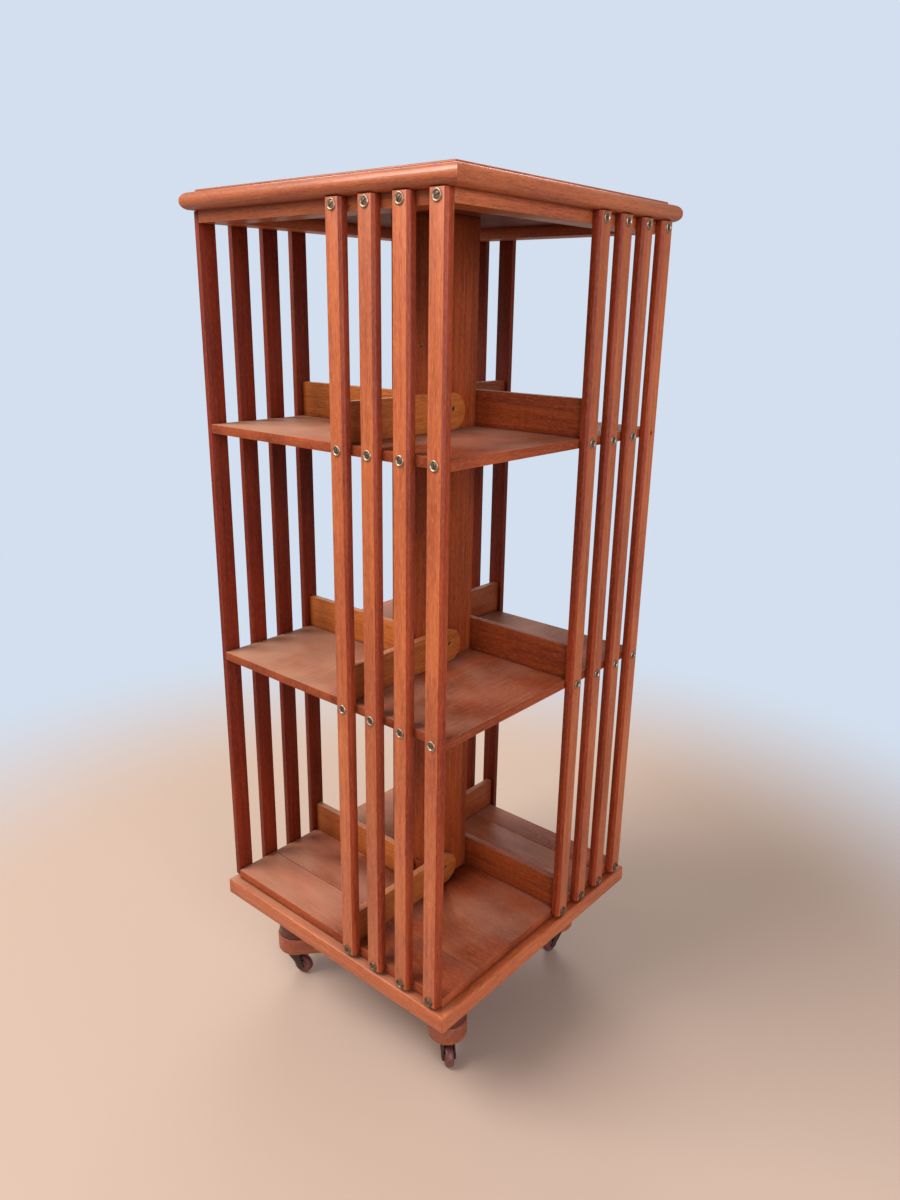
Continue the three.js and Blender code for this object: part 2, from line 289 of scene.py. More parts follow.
def add(tree, kind, inputs=(), **settings):
    """Adds a node with its settings, and gives its inputs a value or a link."""
    made = tree.nodes.new(kind)
    for name, value in settings.items():
        setattr(made, name, value)
    for socket, value in dict(inputs).items():
        if isinstance(value, bpy.types.NodeSocket):
            tree.links.new(value, made.inputs[socket])
        else:
            made.inputs[socket].default_value = value
    return made


def new_finish(name):
    """An empty material with its output, ready for a surface."""
    material = bpy.data.materials.new(name)
    material.use_nodes = True
    material.node_tree.nodes.clear()
    return material, material.node_tree


GRAIN = {"X": (0, -QUARTER, 0), "Y": (QUARTER, 0, 0), "Z": (0, 0, 0)}  # turns the grain upright


def oak(name, along, pale, deep, worn, turn=0, gloss=0.40, polish=0.18, dust=0.0, blotch=0.5):
    """Stained and polished oak: long figure, open pores, ray fleck, rubbed arrises, and dirt with painted
    shade in corners.

    The eye gets a warm, slightly uneven colour that is lighter where hands rub it, with a satin sheen.
    """
    material, tree = new_finish(name)
    place = add(tree, "ShaderNodeTexCoord").outputs["Object"]
    board = add(tree, "ShaderNodeAttribute", attribute_name="board").outputs["Vector"]
    cut = add(tree, "ShaderNodeVectorMath", {0: board, 1: (2, 2, 2), 2: place},
              operation="MULTIPLY_ADD").outputs["Vector"]
    swung = add(tree, "ShaderNodeMapping", {"Vector": cut, "Rotation": (0, 0, -turn)}).outputs[0]
    upright = add(tree, "ShaderNodeMapping", {"Vector": swung, "Rotation": GRAIN[along]}).outputs[0]

    # The grain wanders a few millimetres over a hand's length.
    drift_at = add(tree, "ShaderNodeMapping", {"Vector": upright, "Scale": (9, 9, 3)}).outputs[0]
    drift = add(tree, "ShaderNodeTexNoise", {"Vector": drift_at, "Scale": 1, "Detail": 1})
    wander = (7 * MM, 7 * MM, 0)
    grain = add(tree, "ShaderNodeVectorMath", {0: drift.outputs["Color"], 1: wander, 2: upright},
                operation="MULTIPLY_ADD").outputs["Vector"]

    # Growth rings about 5 mm apart, seen as bands 200 mm long.
    ring_at = add(tree, "ShaderNodeMapping", {"Vector": grain, "Scale": (190, 190, 5)}).outputs[0]
    rings = add(tree, "ShaderNodeTexNoise", {"Vector": ring_at, "Scale": 1, "Detail": 3, "Roughness": 0.6})
    # Open pores are 0.3 mm wide; drawn 1.2 mm wide and 20 mm long so that they show.
    pore_at = add(tree, "ShaderNodeMapping", {"Vector": grain, "Scale": (820, 820, 50)}).outputs[0]
    pores = add(tree, "ShaderNodeTexNoise", {"Vector": pore_at, "Scale": 1, "Detail": 2})
    pits = add(tree, "ShaderNodeMapRange", {0: pores.outputs["Fac"], 1: 0.54, 2: 0.70}).outputs[0]
    # Ray fleck: paler dashes 1.6 mm by 7 mm.
    fleck_at = add(tree, "ShaderNodeMapping", {"Vector": grain, "Scale": (620, 620, 140)}).outputs[0]
    flecks = add(tree, "ShaderNodeTexNoise", {"Vector": fleck_at, "Scale": 1, "Detail": 2})
    fleck = add(tree, "ShaderNodeMapRange", {0: flecks.outputs["Fac"], 1: 0.50, 2: 0.70, 4: 0.30}).outputs[0]
    # The stain took unevenly, in patches of 60 mm by 200 mm.
    patch_at = add(tree, "ShaderNodeMapping", {"Vector": upright, "Scale": (16, 16, 5)}).outputs[0]
    patch = add(tree, "ShaderNodeTexNoise", {"Vector": patch_at, "Scale": 1, "Detail": 3})
    stain = add(tree, "ShaderNodeMapRange", {0: patch.outputs["Fac"], 1: 0.32, 2: 0.68}).outputs[0]

    ring_share = add(tree, "ShaderNodeMapRange", {0: rings.outputs["Fac"], 1: 0.35, 2: 0.66}).outputs[0]
    share = add(tree, "ShaderNodeMix", {0: blotch, 2: ring_share, 3: stain}).outputs[0]
    colour = add(tree, "ShaderNodeMix", {0: share, 6: srgb(deep), 7: srgb(pale)},
                 data_type="RGBA").outputs[2]
    colour = add(tree, "ShaderNodeMix", {0: fleck, 6: colour, 7: srgb(worn)}, data_type="RGBA").outputs[2]
    pit_share = add(tree, "ShaderNodeMath", {0: pits, 1: 0.55}, operation="MULTIPLY").outputs[0]
    colour = add(tree, "ShaderNodeMix", {0: pit_share, 6: colour, 7: (0.28, 0.17, 0.12, 1)},
                 data_type="RGBA", blend_type="MULTIPLY").outputs[2]

    # No two boards are quite the same tone.
    tone = add(tree, "ShaderNodeSeparateXYZ", {0: board}).outputs["X"]
    value = add(tree, "ShaderNodeMapRange", {0: tone, 1: -1, 2: 1, 3: 0.86, 4: 1.12}).outputs[0]
    colour = add(tree, "ShaderNodeHueSaturation", {"Value": value, "Color": colour}).outputs[0]

    # Rubbed arrises show paler wood, in places about 26 mm long.
    true_face = add(tree, "ShaderNodeNewGeometry")
    rounded = add(tree, "ShaderNodeBevel", {"Radius": 1.6 * MM}, samples=4).outputs[0]
    facing = add(tree, "ShaderNodeVectorMath", {0: rounded, 1: true_face.outputs["Normal"]},
                 operation="DOT_PRODUCT").outputs["Value"]
    arris = add(tree, "ShaderNodeMapRange", {0: facing, 1: 0.985, 2: 0.80}).outputs[0]
    rub_at = add(tree, "ShaderNodeTexNoise", {"Vector": cut, "Scale": 38, "Detail": 3})
    rub = add(tree, "ShaderNodeMapRange", {0: rub_at.outputs["Fac"], 1: 0.38, 2: 0.62, 3: 0.15, 4: 0.85})
    rubbed = add(tree, "ShaderNodeMath", {0: arris, 1: rub.outputs[0]}, operation="MULTIPLY").outputs[0]
    colour = add(tree, "ShaderNodeMix", {0: rubbed, 6: colour, 7: srgb(worn)}, data_type="RGBA").outputs[2]

    # Old polish and dirt gather in the corners; the occlusion mask also darkens where nearby parts shade the
    # wood, which is painted shade.
    corner = add(tree, "ShaderNodeAmbientOcclusion", {"Distance": 14 * MM}, samples=4).outputs["AO"]
    grime_and_shade = add(tree, "ShaderNodeMapRange", {0: corner, 1: 0.75, 2: 0.25, 4: 0.7}).outputs[0]
    colour = add(tree, "ShaderNodeMix", {0: grime_and_shade, 6: colour, 7: (0.30, 0.18, 0.14, 1)},
                 data_type="RGBA", blend_type="MULTIPLY").outputs[2]

    # Dust lies on what faces up, in drifts 110 to 170 mm across.
    upward = add(tree, "ShaderNodeSeparateXYZ", {0: true_face.outputs["Normal"]}).outputs["Z"]
    wiped = add(tree, "ShaderNodeMapping", {"Vector": cut, "Scale": (6, 9, 6)}).outputs[0]
    drift_of_dust = add(tree, "ShaderNodeTexNoise", {"Vector": wiped, "Scale": 1, "Detail": 4})
    # It lies thicker towards the left of the case, and a little thicker towards the front, which is where the
    # light comes from: painted light as well as dust.
    light_lean = add(tree, "ShaderNodeVectorMath", {0: place, 1: (-0.6, -0.15, 0)},
               operation="DOT_PRODUCT").outputs["Value"]
    dust_and_light_lean = add(tree, "ShaderNodeMath", {0: drift_of_dust.outputs["Fac"], 1: light_lean},
                  operation="ADD").outputs[0]
    settled_dust_and_light = add(tree, "ShaderNodeMapRange",
                  {0: dust_and_light_lean, 1: 0.35, 2: 0.68, 3: dust * 0.05, 4: dust * 1.35})
    flat = add(tree, "ShaderNodeMapRange", {0: upward, 1: 0.75, 2: 0.98}).outputs[0]
    dust_and_light_film = add(tree, "ShaderNodeMath", {0: flat, 1: settled_dust_and_light.outputs[0]}, operation="MULTIPLY").outputs[0]
    colour = add(tree, "ShaderNodeMix", {0: dust_and_light_film, 6: colour, 7: srgb(DUST_AND_LIGHT)}, data_type="RGBA").outputs[2]

    satin = add(tree, "ShaderNodeMapRange",
                {0: share, 1: 0, 2: 1, 3: gloss + 0.10, 4: gloss - 0.04}).outputs[0]
    matt = add(tree, "ShaderNodeMath", {0: dust_and_light_film, 1: 0.45, 2: satin}, operation="MULTIPLY_ADD").outputs[0]
    relief = add(tree, "ShaderNodeMath", {0: pits, 1: -1.0, 2: rings.outputs["Fac"]},
                 operation="MULTIPLY_ADD").outputs[0]
    bump = add(tree, "ShaderNodeBump",
               {"Strength": 0.35, "Distance": 0.35 * MM, "Height": relief}).outputs[0]
    surface = add(tree, "ShaderNodeBsdfPrincipled", {
        "Base Color": colour, "Roughness": matt, "Normal": bump, "IOR": 1.5,
        "Coat Weight": polish, "Coat Roughness": 0.28, "Coat IOR": 1.5,
        "Specular IOR Level": 0.25 + polish,
    })
    add(tree, "ShaderNodeOutputMaterial", {"Surface": surface.outputs[0]})
    return material


def metal(name, bright, dull, soil_and_shade, roughness, metallic=1.0, patch=160):
    """Metal that has aged: a bright surface with duller patches, and dirt with painted shade in its corners.

    The eye gets a soft gleam broken by tarnish a few millimetres across.
    """
    material, tree = new_finish(name)
    place = add(tree, "ShaderNodeTexCoord").outputs["Object"]
    tarnish = add(tree, "ShaderNodeTexNoise",
                  {"Vector": place, "Scale": patch, "Detail": 4, "Roughness": 0.6})
    share = add(tree, "ShaderNodeMapRange", {0: tarnish.outputs["Fac"], 1: 0.36, 2: 0.66}).outputs[0]
    colour = add(tree, "ShaderNodeMix", {0: share, 6: srgb(bright), 7: srgb(dull)},
                 data_type="RGBA").outputs[2]
    # Occlusion darkens the corners and hollows: dirt and painted shade.
    corner = add(tree, "ShaderNodeAmbientOcclusion", {"Distance": 3 * MM}, samples=4).outputs["AO"]
    grime_and_shade = add(tree, "ShaderNodeMapRange", {0: corner, 1: 0.8, 2: 0.35, 4: 0.85}).outputs[0]
    colour = add(tree, "ShaderNodeMix", {0: grime_and_shade, 6: colour, 7: srgb(soil_and_shade)}, data_type="RGBA").outputs[2]
    rough = add(tree, "ShaderNodeMapRange",
                {0: share, 1: 0, 2: 1, 3: roughness, 4: min(1, roughness + 0.22)}).outputs[0]
    # Scratches and casting skin about 0.6 mm across.
    skin = add(tree, "ShaderNodeTexNoise", {"Vector": place, "Scale": 1600, "Detail": 2})
    bump = add(tree, "ShaderNodeBump",
               {"Strength": 0.3, "Distance": 0.08 * MM, "Height": skin.outputs["Fac"]}).outputs[0]
    surface = add(tree, "ShaderNodeBsdfPrincipled", {
        "Base Color": colour, "Roughness": rough, "Normal": bump, "Metallic": metallic})
    add(tree, "ShaderNodeOutputMaterial", {"Surface": surface.outputs[0]})
    return material


# Satin reddish-brown spirit stain on quartered oak, French polished; shaded_oak and the deep oak below are
# darker copies of it that paint shade.
STAIN = {"pale": "#BE6638", "deep": "#964426", "worn": "#CC8656"}
case_oak = {along: oak(f"stained_oak_grain_{along}", along, dust=0.36, **STAIN) for along in "XYZ"}
# The edge of the top has kept more of its polish, and catches a long highlight.
edge_oak = {along: oak(f"polished_oak_moulding_{along}", along, gloss=0.42, polish=0.28, **STAIN)
            for along in "XY"}
# Shelves and bottom are duller and blotched, where books rubbed them and kept the light off.
BOOK_RUBBED = {"pale": "#AE5430", "deep": "#70280F", "worn": "#BE764A"}
shelf_oak = oak("book_rubbed_oak_shelf", "Y", gloss=0.50, polish=0.0, dust=0.48, blotch=0.7, **BOOK_RUBBED)
bottom_oak = oak("blotched_oak_bottom", "X", gloss=0.48, polish=0.04, dust=0.36, blotch=0.75, **BOOK_RUBBED)
# Painted shade: a darker copy of the stain for the sides of the slats on the front and right.
shaded_oak = oak("painted_shade_oak_edge", "Z", "#A5421C", "#72230E", "#BC6838", gloss=0.5, polish=0.05)
# Painted shade: a deep red-brown, nearly matt copy of the stain for the backs of the slats, the sides of those
# on the back and left, and the underside of the top.
PAINTED_SHADE_STAIN = {"pale": "#842A10", "deep": "#561407", "worn": "#A0502A"}
painted_shade_oak = {along: oak(f"painted_shade_oak_grain_{along}", along, gloss=0.52, polish=0.04, **PAINTED_SHADE_STAIN) for along in "XZ"}
# The stops have one stain, painted golden on the left and russet on the right: painted light and painted shade
# for how each side is lit.
STOP_LIGHT_AND_SHADE = {
    "front": ("Y", "#B4642C", "#8C441A", "#CC8448"),
    "right": ("X", "#9C461B", "#6A220D", "#BC7038"),
    "back": ("Y", "#A04C1E", "#702810", "#BE743C"),
    "left": ("X", "#CC7838", "#A45220", "#DC9856"),
}
stop_oak = {side: oak(f"painted_light_oak_stop_{side}", *stain, gloss=0.5, polish=0.06, dust=0.35)
            for side, stain in STOP_LIGHT_AND_SHADE.items()}
# The column is amber-brown and matt.
column_oak = oak("amber_oak_column", "Z", "#9C441A", "#6C260E", "#B46630", gloss=0.55, polish=0.0)
# The foot has a browner stain; its upper arms and the hub are painted nearly black, which is painted shade
# under the case.
ARM_TURNS = {"a": QUARTER / 2 + FOOT_TURN, "b": -QUARTER / 2 + FOOT_TURN}
FOOT = {"pale": "#AC5A38", "deep": "#803824", "worn": "#C48458"}
UNDER_CASE_SHADE = {"pale": "#642A1E", "deep": "#3E1610", "worn": "#8A4C36"}
foot_oak = {arm: oak(f"foot_oak_arm_{arm}", "X", turn=turn, dust=0.5, **FOOT)
            for arm, turn in ARM_TURNS.items()}
painted_shade_foot_oak = {arm: oak(f"painted_shade_oak_arm_{arm}", "X", turn=turn, dust=0.5, **UNDER_CASE_SHADE)
            for arm, turn in ARM_TURNS.items()}
hub_oak = oak("painted_shade_oak_hub", "X", dust=0.5, **UNDER_CASE_SHADE)
# Turned beech with a red-brown stain, scuffed on the tread.
wheel_beech = oak("stained_beech_wheel", "Y", "#6E3A33", "#4A2320", "#8D6052", gloss=0.5)
# Nickel-plated brass: grey gleam with the brass showing through.
cup_nickel = metal("nickelled_brass_cup", "#C4B2A2", "#8E7662", "#553E30", 0.40)
# The lowest cups, within reach of feet and mops, have lost their gleam.
soiled_cup = metal("soiled_brass_cup", "#8E7868", "#5E4A3C", "#30221A", 0.52)
# Steel screws gone brown.
screw_steel = metal("browned_steel_screw", "#94806E", "#6A5442", "#38261A", 0.48)
# Japanned cast iron: near black, matt, with brown rust coming through.
black_iron = metal("japanned_cast_iron", "#2C2624", "#4A2E22", "#120D0B", 0.52, metallic=0.35, patch=90)
# Turned mild steel, greased: a darker, even gleam.
spindle_steel = metal("turned_mild_steel", "#8A8782", "#5E5850", "#241E18", 0.34, patch=60)


# The top

def top():
    low, high = corners("top_board")
    half = high.x
    edge_top = low.z + TOP_EDGE_THICK
    edging = sawn("top_edging_front", (-half, -half, low.z), (half, TOP_EDGE_WIDE - half, edge_top))
    round_edges(edging, lambda at, way: at.y < 1 - half and abs(way.x) > 0.9, TOP_EDGE_THICK / 2 - 0.05, 9)
    mitre(edging, half, 0.4)
    soften(edging, 0.7, 3)
    for side, piece in all_round(edging, "top_edging_{}").items():
        fit(piece, "case", "stained_oak", edge_oak["X" if side in ("front", "back") else "Y"], "top_board")

    inside = half - TOP_EDGE_WIDE - 0.2
    panel = sawn("top_panel", (-inside, -inside, low.z), (inside, inside, edge_top - 0.3))
    soften(panel, 0.6)
    # The underside of the top takes the darker copy of the stain: painted shade.
    fit(panel, "case", "stained_oak", painted_shade_oak["X"], "top_board")

    # The raised field is glued up from boards; only its outer edges are rounded over.
    field = half - FIELD_INSET
    wide = 2 * field / FIELD_BOARDS
    for n in range(FIELD_BOARDS):
        start = n * wide - field
        end = start + wide - BOARD_GAP
        board = sawn(f"top_field_board_{n + 1}", (-field, start, edge_top), (field, end, high.z))
        outer = (lambda at: abs(at.x) > field - 1 or abs(at.y) > field - 1)
        round_edges(board, lambda at, way: outer(at) and at.z > high.z - 0.1, 2.2, 4)
        round_edges(board, lambda at, way: outer(at) and at.z < edge_top + 0.1, 0.9, 1)
        soften(board, 0.2, 1)
        fit(board, "case", "stained_oak", case_oak["X"], "top_board")

    low, high = corners("frame_rail_front")
    rail = sawn("frame_rail_front_oak", (low.y, low.y, low.z), (-low.y, high.y, high.z))
    mitre(rail, -low.y, 0.5)
    soften(rail, 0.6)
    for side, piece in all_round(rail, "frame_rail_{}_oak").items():
        grain = case_oak["X" if side in ("front", "back") else "Y"]
        fit(piece, "case", "stained_oak", grain, f"frame_rail_{side}")


# Shelves, plinth and bottom board

def shelves():
    hole = -corners("column_board_front")[0].x + 0.3
    for level in ("upper", "lower"):
        low, high = corners(f"shelf_{level}")
        shelf = sawn(f"shelf_{level}_oak", low, high)
        bpy.ops.object.mode_set(mode="EDIT")
        select_faces(shelf, lambda at, normal: abs(normal.z) > 0.9)
        bpy.ops.mesh.inset(thickness=(high.x - hole) * MM)
        bpy.ops.mesh.bridge_edge_loops()
        bpy.ops.object.mode_set(mode="OBJECT")
        soften(shelf, 0.9)
        fit(shelf, "case", "stained_oak", shelf_oak, f"shelf_{level}")


def plinth():
    low, high = corners("plinth_rail_front")
    half = -low.y
    rail = sawn("plinth_rail_front_oak", (-half, -half, low.z), (half, high.y, high.z))
    round_edges(rail, lambda at, way: at.y < 1 - half and at.z > high.z - 1, PLINTH_ARRIS, 4)
    mitre(rail, half, 1.4)
    soften(rail, 0.5)
    for side, piece in all_round(rail, "plinth_rail_{}_oak").items():
        grain = case_oak["X" if side in ("front", "back") else "Y"]
        fit(piece, "case", "stained_oak", grain, f"plinth_rail_{side}")

    low, high = corners("bottom_board")
    joints = (low.y, *PLANK_JOINTS, high.y)
    for n, (start, end) in enumerate(zip(joints, joints[1:]), 1):
        near, far = start + PLANK_GAP, end - PLANK_GAP
        plank = sawn(f"bottom_plank_{n}", (low.x, near, low.z), (high.x, far, high.z))
        soften(plank, 0.8)
        if start < 0 < end:
            carve(plank, turned("spindle_hole", [(SPINDLE_HOLE, low.z - 1), (SPINDLE_HOLE, high.z + 1)]))
        fit(plank, "case", "stained_oak", bottom_oak, "bottom_board")


# Screws

def slotted_head(name, radius, low, crown, slot):
    """A slotted screw head, its face towards +Z, from its low edge to its crown."""
    head = turned(name, [(radius, low), (radius, crown - 0.55), (radius * 0.9, crown - 0.25),
                         (radius * 0.55, crown - 0.05), (radius * 0.15, crown)], 24)
    carve(head, sawn("slot", (-radius - 1, -slot / 2, crown - 0.7), (radius + 1, slot / 2, crown + 1)))
    bpy.ops.object.shade_smooth_by_angle(angle=math.radians(35))
    head.data.materials.clear()
    head.data.materials.append(screw_steel)
    return head


def cup_screw():
    """A screw in a cup washer, its face towards +Z, as it sits on a face at height 0."""
    cup = turned("cup", [
        (4.4, -0.2), (7.15, -0.2), (7.25, 0.5), (6.95, 1.25), (6.4, 1.7),
        (5.85, 1.75), (5.2, 1.35), (4.6, 0.5), (4.4, 0.2),
    ], 32, bored=True)
    cup.data.materials.append(cup_nickel)
    return joined(cup, slotted_head("head", 4.35, -0.2, 0.75, 1.1))


# Slats, four to a side, each with four screws

def slats():
    low, high = corners("slat_front_1")
    face = low.y
    slat = sawn("slat_front_1_oak", (low.x, face + SLAT_CHAMFER, low.z), high)
    narrowed = SLAT_FACE / (high.x - low.x)
    draw_face(slat, lambda at, normal: normal.y < -0.9, (0, -SLAT_CHAMFER, 0), (narrowed, 1, 1))
    soften(slat, 0.45)
    screw = cup_screw()
    on_front = Matrix.Rotation(QUARTER, 4, "X")
    middle = (low.x + high.x) / 2
    pieces = {}
    for turn, side in enumerate(SIDES):
        round_case = Matrix.Rotation(turn * QUARTER, 4, "Z")
        for n in range(1, 5):
            step = corners(f"slat_front_{n}")[0].x - low.x
            along = Matrix.Translation((step * MM, 0, 0))
            first = (side, n) == ("front", 1)
            pieces[side, n] = slat if first else copied(slat, f"slat_{side}_{n}_oak", round_case @ along)
            for level, z in SCREW_LEVELS.items():
                at = Matrix.Translation(((middle + step) * MM, face * MM, z * MM))
                if (side, n, level) == LOST_SCREW:
                    hole = turned("hole", [(2.6, -11), (2.6, -1.2), (3.6, 0.5)], 24)
                    hole.data.transform(round_case @ at @ on_front)
                    carve(pieces[side, n], hole)
                    continue
                driven = Matrix.Rotation(luck.uniform(0, math.pi), 4, "Z")
                name = f"cup_screw_{side}_{n}_{level}"
                set_in = copied(screw, name, round_case @ at @ on_front @ driven)
                if level == "plinth":
                    set_in.data.materials[0] = soiled_cup
                fit(set_in, "case", "iron", None)
    bpy.data.objects.remove(screw)
    for turn, side in enumerate(SIDES):
        outward = Matrix.Rotation(turn * QUARTER, 3, "Z") @ Vector((0, -1, 0))
        for n in range(1, 5):
            piece = pieces[side, n]
            fit(piece, "case", "stained_oak", case_oak["Z"], f"slat_{side}_{n}")
            # Each slat's outward face keeps the stain; its sides and back take darker copies, which are
            # painted shade.
            piece.data.materials.append(shaded_oak if side in DAYLIT else painted_shade_oak["Z"])
            piece.data.materials.append(painted_shade_oak["Z"])
            for face in piece.data.polygons:
                out = face.normal.dot(outward)
                face.material_index = 0 if out > 0.9 else 1 if out > -0.5 else 2


# Book stops lapped on the column, and the column's boards

def stops_and_column():
    facing_x = Matrix.Rotation(QUARTER, 4, "Y")
    low, high = corners("book_stop_bottom_front")
    stop = sawn("book_stop_bottom_front_oak", low, high)
    tall = high.z - low.z
    round_edges(stop, lambda at, way: at.y > high.y - 1 and abs(way.x) > 0.9, tall / 2 - 0.1, 12)
    soften(stop, 1.1, 3)
    at = Matrix.Translation((high.x * MM, -22 * MM, (low.z + 31) * MM)) @ facing_x
    sink = turned("sink", [(3.3, -2.4), (3.5, -0.8), (4.5, 0.6)], 24)
    sink.data.transform(at)
    carve(stop, sink)
    bpy.ops.object.shade_smooth_by_angle(angle=SHADE_ANGLE)
    head = slotted_head("stop_screw_bottom_front", 3.2, -2.6, -1.1, 0.9)
    head.data.transform(at @ Matrix.Rotation(0.9, 4, "Z"))
    made = []
    for tier in TIERS:
        rise = Matrix.Translation((0, 0, (corners(f"book_stop_{tier}_front")[0].z - low.z) * MM))
        for turn, side in enumerate(SIDES):
            move = Matrix.Rotation(turn * QUARTER, 4, "Z") @ rise
            first = (tier, side) == ("bottom", "front")
            piece = stop if first else copied(stop, f"book_stop_{tier}_{side}_oak", move)
            screw = head if first else copied(head, f"stop_screw_{tier}_{side}", move)
            made.append((piece, screw, tier, side))
    for piece, screw, tier, side in made:
        fit(piece, "case", "yellow_oak", stop_oak[side], f"book_stop_{tier}_{side}")
        fit(screw, "case", "iron", None)

    low, high = corners("column_board_front")
    board = sawn("column_board_front_oak", low, high)
    soften(board, 0.9)
    boards = all_round(board, "column_board_{}_oak")
    facing_front = Matrix.Rotation(QUARTER, 4, "X")
    for n, z in enumerate(COLUMN_SCREWS, 1):
        at = Matrix.Translation((13 * MM, low.y * MM, z * MM)) @ facing_front
        sink = turned("sink", [(3.1, -2.0), (3.3, -0.8), (4.2, 0.6)], 24)
        sink.data.transform(at)
        carve(board, sink)
        screw = slotted_head(f"column_screw_{n}", 3.0, -2.2, -0.9, 0.9)
        screw.data.transform(at @ Matrix.Rotation(n, 4, "Z"))
        fit(screw, "case", "iron", None)
    only(board)
    bpy.ops.object.shade_smooth_by_angle(angle=SHADE_ANGLE)
    for side, piece in boards.items():
        fit(piece, "case", "yellow_oak", column_oak, f"column_board_{side}")


# The cross foot

def arm(name, half, width, low, high, lower_round, upper_round):
    """A beam along X with round ends and worked edges."""
    beam = sawn(name, (-half, -width / 2, low), (half, width / 2, high))
    round_edges(beam, lambda at, way: abs(way.z) > 0.9, width / 2 - 0.1, 12)
    level = (lambda way: abs(way.z) < 0.1)
    round_edges(beam, lambda at, way: at.z < low + 0.1 and level(way), lower_round, 4)
    round_edges(beam, lambda at, way: at.z > high - 0.1 and level(way), upper_round, 3)
    only(beam)
    bpy.ops.object.shade_smooth_by_angle(angle=SHADE_ANGLE)
    return beam


def cross_foot():
    for level, finish, slot in (("lower", foot_oak, "foot_wood"), ("upper", painted_shade_foot_oak, "dark_foot_wood")):
        inset = UPPER_ARM_INSET if level == "upper" else 0
        half, width = ARM_HALF - inset, ARM_WIDTH - 2 * inset
        for letter, turn in ARM_TURNS.items():
            low, high = corners(f"{level}_arm_{letter}")
            rounds = (6, 1.6) if level == "lower" else (1.2, 1.2)
            beam = arm(f"{level}_arm_{letter}_oak", half, width, low.z, high.z, *rounds)
            # Halved where it crosses the other arm.
            middle = (low.z + high.z) / 2
            reach = width / 2 + 0.3
            cut = (middle, high.z + 1) if letter == "a" else (low.z - 1, middle)
            carve(beam, sawn("notch", (-reach, -width, cut[0]), (reach, width, cut[1])))
            if level == "lower":
                for end in (-CASTER_RADIUS, CASTER_RADIUS):
                    hole = turned("stem_hole", [(5.2, low.z - 1), (5.2, 73)], 24)
                    hole.data.transform(Matrix.Translation((end * MM, 0, 0)))
                    carve(beam, hole)
            beam.data.transform(Matrix.Rotation(turn, 4, "Z"))
            fit(beam, "base", slot, finish[letter], f"{level}_arm_{letter}")

    z = corners("hub")[0].z
    hub = turned("hub_oak", [
        (16.4, z), (93.5, z), (94.6, z + 1), (95, z + 3), (95, z + 10), (94, z + 12.5), (91.5, z + 14.5),
        (90.5, z + 15), (90, z + 17), (88, z + 18), (42, z + 18), (38, z + 19), (35.5, z + 21), (34, z + 24),
        (33.6, z + 25.4), (32.6, z + 26), (16.4, z + 26),
    ], 96, bored=True)
    fit(hub, "base", "dark_foot_wood", hub_oak, "hub")


# Casters

# Turns a piece made upright onto the wheel's axle.
ON_THE_AXLE = Matrix.Translation((WHEEL_TRAIL * MM, 0, WHEEL_RADIUS * MM)) @ Matrix.Rotation(QUARTER, 4, "X")


def fork():
    """A forged fork with its crown, stem and riveted axle, about its swivel axis, trailing along X."""
    cheek = sawn("cheek", (-13, 8.3, 35), (13, 10.9, 46.4))
    draw_face(cheek, lambda at, normal: normal.z < -0.9, (WHEEL_TRAIL - 0.2, 0, 17 - 35), (0.5, 1, 1))
    draw_face(cheek, lambda at, normal: normal.z < -0.9, (0, 0, -6.5))
    round_edges(cheek, lambda at, way: at.z < 11 and abs(way.y) > 0.9, 6.2, 6)
    soften(cheek, 0.5)
    other = copied(cheek, "other_cheek", Matrix.Translation((0, -19.2 * MM, 0)))
    crown = turned("crown", [(12.6, 37), (14, 38.2), (14, 44.4), (13, 46.1), (12, 46.4)], 40)
    stem = turned("stem", [(4.5, 46), (4.5, 71), (3.7, 72)], 24)
    axle = turned("axle", [(1.3, -11.9), (2.8, -11.5), (3.3, -10.8), (2.5, -10.7), (2.5, 10.7), (3.3, 10.8),
                           (2.8, 11.5), (1.3, 11.9)], 20)
    axle.data.transform(ON_THE_AXLE)
    made = joined(cheek, other, crown, stem, axle)
    made.name = "caster_fork"
    return made


def wheel():
    """A turned wheel on its axle, with a boss and a crowned tread."""
    near = [(2.75, 7.5), (5.6, 7.5), (6.2, 7.1), (6.6, 6.2), (7.6, 5.8),
            (12.4, 5.9), (13.6, 6.3), (14.9, 6.0), (16.2, 4.8), (16.8, 2.6)]
    far = [(r, -z) for r, z in near]
    made = turned("caster_wheel", [*far, (WHEEL_RADIUS, 0), *reversed(near)], 48, bored=True)
    made.data.transform(ON_THE_AXLE)
    return made


def plate():
    """The round plate under the arm, with its three screws."""
    made = turned(
        "caster_plate", [(5.1, 47.6), (18.6, 47.6), (19.4, 48.2), (19.4, 49.9), (5.1, 49.9)], 48, bored=True)
    heads = []
    for n in range(3):
        head = turned("plate_screw", [(0.8, 46.7), (1.9, 46.9), (2.3, 47.3), (2.3, 47.8)], 16)
        spoke = Matrix.Rotation(n * 2 * math.pi / 3 + 0.4, 4, "Z") @ Matrix.Translation((16.6 * MM, 0, 0))
        head.data.transform(spoke)
        heads.append(head)
    return joined(made, *heads)


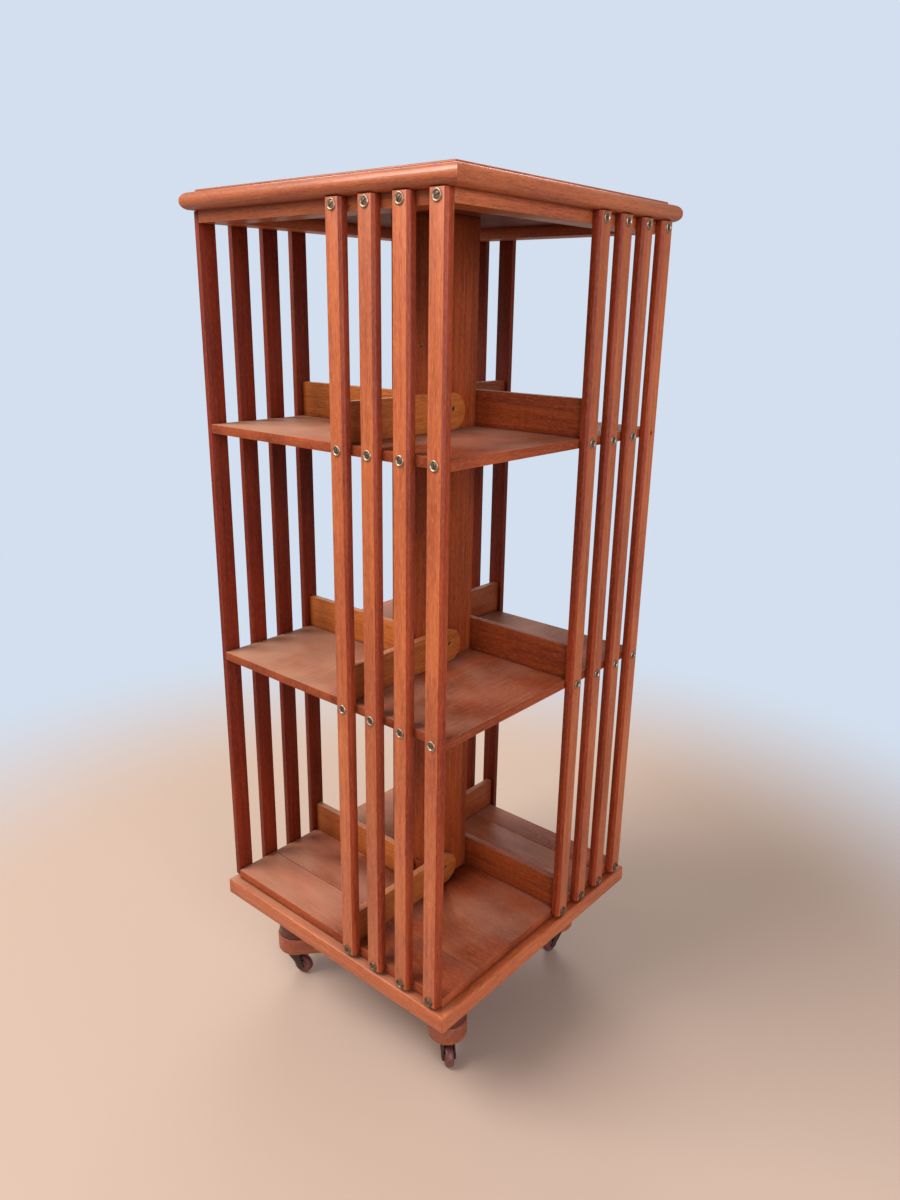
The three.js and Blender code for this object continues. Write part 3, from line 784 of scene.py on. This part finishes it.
def casters():
    models = {"fork": fork(), "wheel": wheel(), "plate": plate()}
    for number, heading in enumerate(CASTER_HEADINGS, 1):
        angle = -QUARTER / 2 + FOOT_TURN + (number - 1) * QUARTER
        spot = Matrix.Rotation(angle, 4, "Z") @ Vector((CASTER_RADIUS * MM, 0, 0))
        at = Matrix.Translation(spot) @ Matrix.Rotation(heading, 4, "Z")
        made = {kind: copied(model, f"caster_{kind}_{number}_made", at) for kind, model in models.items()}
        fit(made["fork"], f"caster_{number}", "iron", black_iron, f"caster_fork_{number}")
        fit(made["wheel"], f"wheel_{number}", "wheel_wood", wheel_beech, f"caster_wheel_{number}")
        fit(made["plate"], "base", "iron", black_iron)
    for model in models.values():
        bpy.data.objects.remove(model)


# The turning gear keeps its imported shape

def turning_gear():
    for node, finish in (("spindle", spindle_steel), ("pivot_cup", black_iron), ("guide_ring", black_iron)):
        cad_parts[node].data.materials.clear()
        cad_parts[node].data.materials.append(finish)


# Stage, lights and camera

def stage():
    """A plain pale floor that fades into a plain pale room."""
    material, tree = new_finish("pale_floor")
    place = add(tree, "ShaderNodeTexCoord").outputs["Object"]
    far = add(tree, "ShaderNodeVectorMath", {0: place}, operation="LENGTH").outputs["Value"]
    fade = add(tree, "ShaderNodeMapRange", {0: far, 1: 0.8, 2: 1.7},
               interpolation_type="SMOOTHSTEP").outputs[0]
    matt = add(tree, "ShaderNodeBsdfPrincipled", {"Base Color": srgb("#B7A498"), "Roughness": 0.6})
    clear = add(tree, "ShaderNodeBsdfTransparent")
    mixed = add(tree, "ShaderNodeMixShader", {0: fade, 1: matt.outputs[0], 2: clear.outputs[0]})
    add(tree, "ShaderNodeOutputMaterial", {"Surface": mixed.outputs[0]})
    bpy.ops.object.select_all(action="DESELECT")
    bpy.ops.mesh.primitive_circle_add(vertices=96, radius=1.8, fill_type="NGON")
    floor = settle("floor")
    floor.data.materials.append(material)

    world = bpy.data.worlds.new("pale_room")
    bpy.context.scene.world = world
    world.use_nodes = True
    tree = world.node_tree
    # The room is bright to look at, and gives a gentler, warmer fill than it seems.
    seen = add(tree, "ShaderNodeLightPath").outputs["Is Camera Ray"]
    room = add(tree, "ShaderNodeMix", {0: seen, 6: srgb(ROOM_FILL), 7: srgb(ROOM_SEEN)},
               data_type="RGBA").outputs[2]
    tree.links.new(room, tree.nodes["Background"].inputs["Color"])


def soft_light(name, place, size, power, colour):
    """A large square lamp that points at the middle of the case."""
    lamp = bpy.data.lights.new(name, "AREA")
    lamp.size = size
    lamp.energy = power
    lamp.color = srgb(colour)[:3]
    holder = bpy.data.objects.new(name, lamp)
    holder.location = place
    holder.rotation_euler = (Vector((0, 0, 0.6)) - Vector(place)).to_track_quat("-Z", "Y").to_euler()
    bpy.context.scene.collection.objects.link(holder)


def lights():
    soft_light("window", (-2.0, -3.1, 5.0), 3.4, 430, "#FFF5EA")
    soft_light("room", (3.2, -1.4, 1.8), 2.0, 80, "#F4F4FF")
    soft_light("behind", (-2.6, 2.8, 2.4), 2.4, 60, "#FFFAF4")


def camera():
    """Stands off the front right corner, a little lower than the top board, and looks down."""
    yaw, pitch, roll = (math.radians(a) for a in (40.334, -17.828, 0.964))
    ahead = Vector((-math.sin(yaw) * math.cos(pitch), math.cos(yaw) * math.cos(pitch), math.sin(pitch)))
    level = Vector((math.cos(yaw), math.sin(yaw), 0))
    over = level.cross(ahead)
    across = level * math.cos(roll) + over * math.sin(roll)
    upward = over * math.cos(roll) - level * math.sin(roll)
    lens = bpy.data.cameras.new("camera")
    lens.lens = 27.064
    lens.sensor_width = 36
    holder = bpy.data.objects.new("camera", lens)
    turn = Matrix((across, upward, -ahead)).transposed().to_4x4()
    holder.matrix_world = Matrix.Translation((0.91814, -1.03670, 1.1373)) @ turn
    bpy.context.scene.collection.objects.link(holder)
    bpy.context.scene.camera = holder
    bpy.context.scene.view_settings.view_transform = "Standard"


top()
shelves()
plinth()
slats()
stops_and_column()
cross_foot()
casters()
turning_gear()
stage()
lights()
camera()

bpy.context.view_layer.update()
